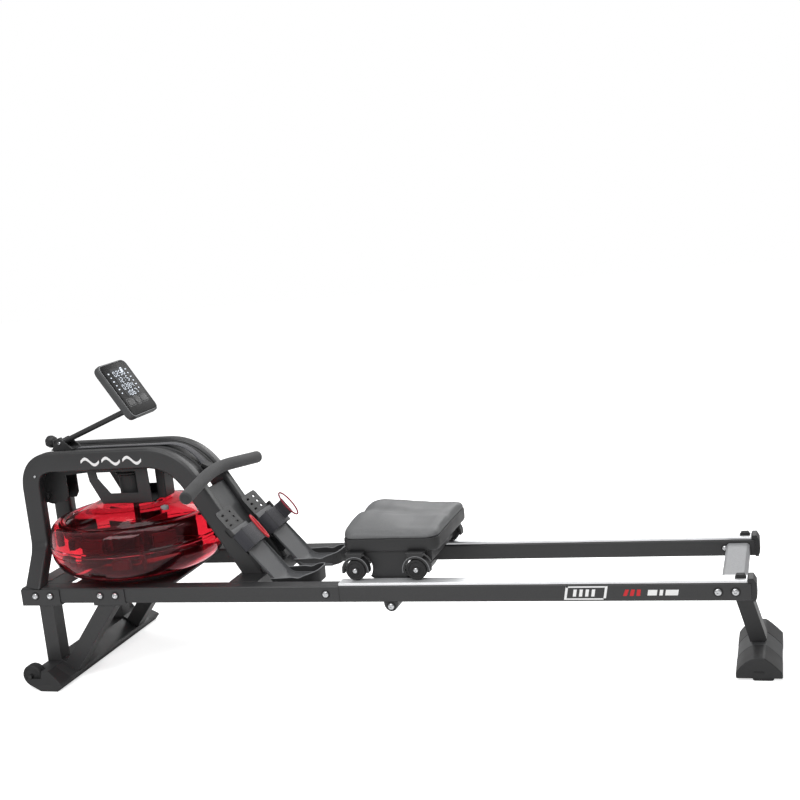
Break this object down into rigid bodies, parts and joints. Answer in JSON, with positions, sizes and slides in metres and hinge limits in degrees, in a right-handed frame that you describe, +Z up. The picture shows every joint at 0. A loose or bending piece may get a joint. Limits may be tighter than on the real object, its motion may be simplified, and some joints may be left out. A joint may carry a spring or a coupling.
{
  "type": "water rowing machine",
  "caption": "Water-resistance rowing machine with arched frame, tank, strap-driven handle, sliding seat on twin rails, footrests and tilting console.",
  "frame": {"origin": "on the floor under the middle of the machine's bounding box", "axes": "+X towards the rear foot, +Y to the side of the right-hand parts, +Z up"},
  "size_m": [2.0558, 0.572, 0.8572],
  "materials": {
    "frame_paint": "satin",
    "track_aluminium": "satin",
    "pale_grey_paint": "satin",
    "handle_steel": "satin",
    "black_plastic": "matte",
    "grey_plastic": "matte",
    "rubber": "matte",
    "grip_foam": "matte foam",
    "tank_red": "glossy, tinted clear",
    "webbing": "woven",
    "console_gloss": "glossy",
    "seat_pad": "soft satin"
  },
  "bodies": {
    "frame": {"base_rail_left": "frame_paint", "slide_rail_left": "frame_paint", "track_left": "track_aluminium", "rail_end_cap_left": "black_plastic", "seat_stop_left": "rubber", "base_rail_right": "frame_paint", "slide_rail_right": "frame_paint", "track_right": "track_aluminium", "rail_end_cap_right": "black_plastic", "seat_stop_right": "rubber", "front_cross_tube": "pale_grey_paint", "arch_cross_tube": "frame_paint", "lower_cross_bar": "frame_paint", "rear_cross_plate": "pale_grey_paint", "leg_frame_left": "frame_paint", "leg_frame_right": "frame_paint", "front_foot_tube": "frame_paint", "front_foot_cap_left": "black_plastic", "front_foot_cap_right": "black_plastic", "rear_foot_body": "grey_plastic", "rear_foot_cap_left": "black_plastic", "rear_foot_cap_right": "black_plastic", "rear_leg": "frame_paint", "arch_left": "frame_paint", "arch_right": "frame_paint", "top_cover": "black_plastic", "center_panel": "pale_grey_paint", "pulley_housing": "black_plastic", "tank_bracket": "frame_paint", "pull_strap": "webbing", "tank_lower_shell": "tank_red", "tank_upper_shell": "tank_red", "tank_cradle": "frame_paint", "console_bracket": "frame_paint", "footrest_base_left": "black_plastic", "foot_strap_left": "webbing", "footrest_base_right": "black_plastic", "foot_strap_right": "webbing"},
    "seat": {"seat_carriage": "black_plastic", "seat_cushion": "seat_pad"},
    "seat_wheel_front_left": {"seat_wheel_front_left": "rubber"},
    "seat_wheel_front_right": {"seat_wheel_front_right": "rubber"},
    "seat_wheel_rear_left": {"seat_wheel_rear_left": "rubber"},
    "seat_wheel_rear_right": {"seat_wheel_rear_right": "rubber"},
    "handle": {"handle_grip": "grip_foam", "handle_bar": "handle_steel", "strap_clip": "black_plastic"},
    "front_pulley": {"front_pulley": "black_plastic"},
    "strap_drum": {"strap_drum": "black_plastic"},
    "impeller": {"impeller": "black_plastic"},
    "transport_wheel_left": {"transport_wheel_left": "rubber"},
    "transport_wheel_right": {"transport_wheel_right": "rubber"},
    "console_arm": {"console_arm": "frame_paint"},
    "console_head": {"console_shell": "console_gloss"},
    "console_button_center": {"console_button_center": "grey_plastic"},
    "console_button_left": {"console_button_left": "grey_plastic"},
    "console_button_right": {"console_button_right": "grey_plastic"},
    "clamp_knob": {"clamp_knob": "black_plastic"},
    "heel_left": {"heel_plate_left": "grey_plastic"},
    "heel_right": {"heel_plate_right": "grey_plastic"}
  },
  "joints": [
    {"name": "seat_slide", "type": "slide", "parent": "frame", "child": "seat", "axis": [1, 0, 0], "range_m": [0, 0.75]},
    {"name": "seat_wheel_front_left_roll", "type": "hinge", "parent": "seat", "child": "seat_wheel_front_left", "pos_m": [-0.0129, -0.167, 0.3003], "axis": [0, 1, 0], "range_deg": [-5, 1600]},
    {"name": "seat_wheel_front_right_roll", "type": "hinge", "parent": "seat", "child": "seat_wheel_front_right", "pos_m": [-0.0129, 0.167, 0.3003], "axis": [0, 1, 0], "range_deg": [-5, 1600]},
    {"name": "seat_wheel_rear_left_roll", "type": "hinge", "parent": "seat", "child": "seat_wheel_rear_left", "pos_m": [0.1511, -0.167, 0.3003], "axis": [0, 1, 0], "range_deg": [-5, 1600]},
    {"name": "seat_wheel_rear_right_roll", "type": "hinge", "parent": "seat", "child": "seat_wheel_rear_right", "pos_m": [0.1511, 0.167, 0.3003], "axis": [0, 1, 0], "range_deg": [-5, 1600]},
    {"name": "handle_pull", "type": "slide", "parent": "frame", "child": "handle", "axis": [1, 0, 0], "range_m": [0, 1.1], "stiffness_N_per_m": 6},
    {"name": "front_pulley_turn", "type": "hinge", "parent": "frame", "child": "front_pulley", "pos_m": [-0.9769, 0, 0.494], "axis": [0, 1, 0], "range_deg": [-5, 2430]},
    {"name": "strap_drum_turn", "type": "hinge", "parent": "frame", "child": "strap_drum", "pos_m": [-0.7209, 0, 0.51], "axis": [0, 0, 1], "range_deg": [-5, 1665]},
    {"name": "impeller_spin", "type": "hinge", "parent": "frame", "child": "impeller", "pos_m": [-0.7209, 0, 0.33], "axis": [0, 0, 1], "continuous": true},
    {"name": "transport_wheel_left_roll", "type": "hinge", "parent": "frame", "child": "transport_wheel_left", "pos_m": [-0.9629, -0.262, 0.038], "axis": [0, 1, 0], "continuous": true},
    {"name": "transport_wheel_right_roll", "type": "hinge", "parent": "frame", "child": "transport_wheel_right", "pos_m": [-0.9629, 0.262, 0.038], "axis": [0, 1, 0], "continuous": true},
    {"name": "console_arm_lift", "type": "hinge", "parent": "frame", "child": "console_arm", "pos_m": [-0.9249, 0, 0.641], "axis": [0, 1, 0], "range_deg": [-40, 10]},
    {"name": "console_tilt", "type": "hinge", "parent": "console_arm", "child": "console_head", "pos_m": [-0.7029, 0, 0.724], "axis": [0, 1, 0], "range_deg": [-25, 15]},
    {"name": "console_button_center_press", "type": "slide", "parent": "console_head", "child": "console_button_center", "axis": [-0.8453, 0, -0.5344], "range_m": [0, 0.001], "stiffness_N_per_m": 400, "springref_m": -0.001},
    {"name": "console_button_left_press", "type": "slide", "parent": "console_head", "child": "console_button_left", "axis": [-0.8453, 0, -0.5344], "range_m": [0, 0.001], "stiffness_N_per_m": 400, "springref_m": -0.001},
    {"name": "console_button_right_press", "type": "slide", "parent": "console_head", "child": "console_button_right", "axis": [-0.8453, 0, -0.5344], "range_m": [0, 0.001], "stiffness_N_per_m": 400, "springref_m": -0.001},
    {"name": "clamp_knob_turn", "type": "hinge", "parent": "frame", "child": "clamp_knob", "pos_m": [-0.9669, 0, 0.643], "axis": [1, 0, 0], "continuous": true},
    {"name": "heel_left_adjust", "type": "slide", "parent": "frame", "child": "heel_left", "axis": [0.6157, 0, -0.788], "range_m": [-0.03, 0.02]},
    {"name": "heel_right_adjust", "type": "slide", "parent": "frame", "child": "heel_right", "axis": [0.6157, 0, -0.788], "range_m": [-0.03, 0.02]}
  ],
  "couplings": [
    {"joint": "seat_wheel_front_left_roll", "follows": "seat_slide", "rad_per_m": 37.037},
    {"joint": "seat_wheel_front_right_roll", "follows": "seat_slide", "rad_per_m": 37.037},
    {"joint": "seat_wheel_rear_left_roll", "follows": "seat_slide", "rad_per_m": 37.037},
    {"joint": "seat_wheel_rear_right_roll", "follows": "seat_slide", "rad_per_m": 37.037},
    {"joint": "front_pulley_turn", "follows": "handle_pull", "rad_per_m": 38.462},
    {"joint": "strap_drum_turn", "follows": "handle_pull", "rad_per_m": 26.316}
  ]
}
